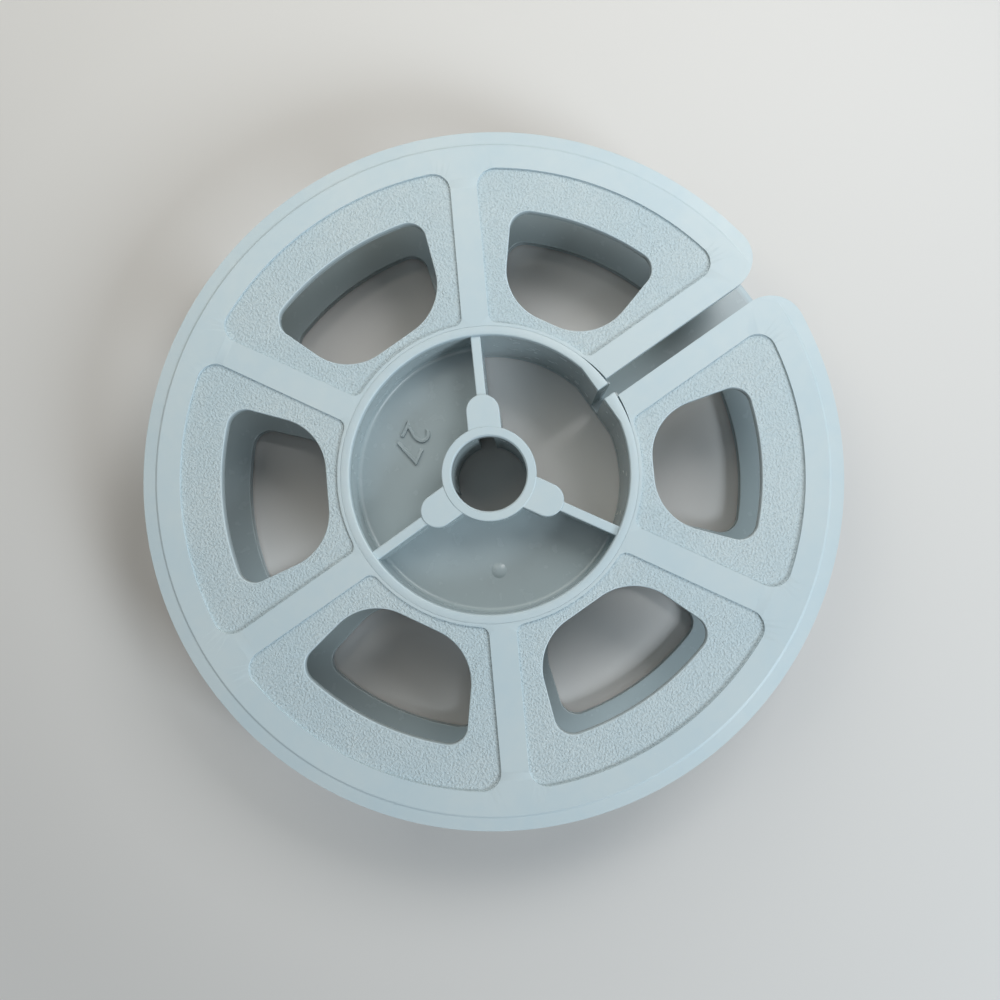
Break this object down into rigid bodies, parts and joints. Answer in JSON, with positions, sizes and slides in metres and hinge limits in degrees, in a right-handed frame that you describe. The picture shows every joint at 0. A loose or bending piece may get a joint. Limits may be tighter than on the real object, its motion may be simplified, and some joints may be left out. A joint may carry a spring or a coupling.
{
  "type": "cine film reel",
  "caption": "Empty plastic reel for narrow cine film: a slotted front flange on a core and rear flange, with windows, recessed panels and a keyed spindle bore.",
  "frame": {"origin": "on the spindle axis at the outer face of the rear flange, which the reel lies on", "axes": "+Z along the spindle axis towards the slotted front flange, +X along the film slot"},
  "size_m": [0.075, 0.075, 0.0111],
  "materials": {
    "reel_plastic": "satin moulded plastic, pebble grain in the panels"
  },
  "bodies": {
    "root": {"core_rear_flange": "reel_plastic", "front_flange": "reel_plastic"}
  },
  "joints": []
}
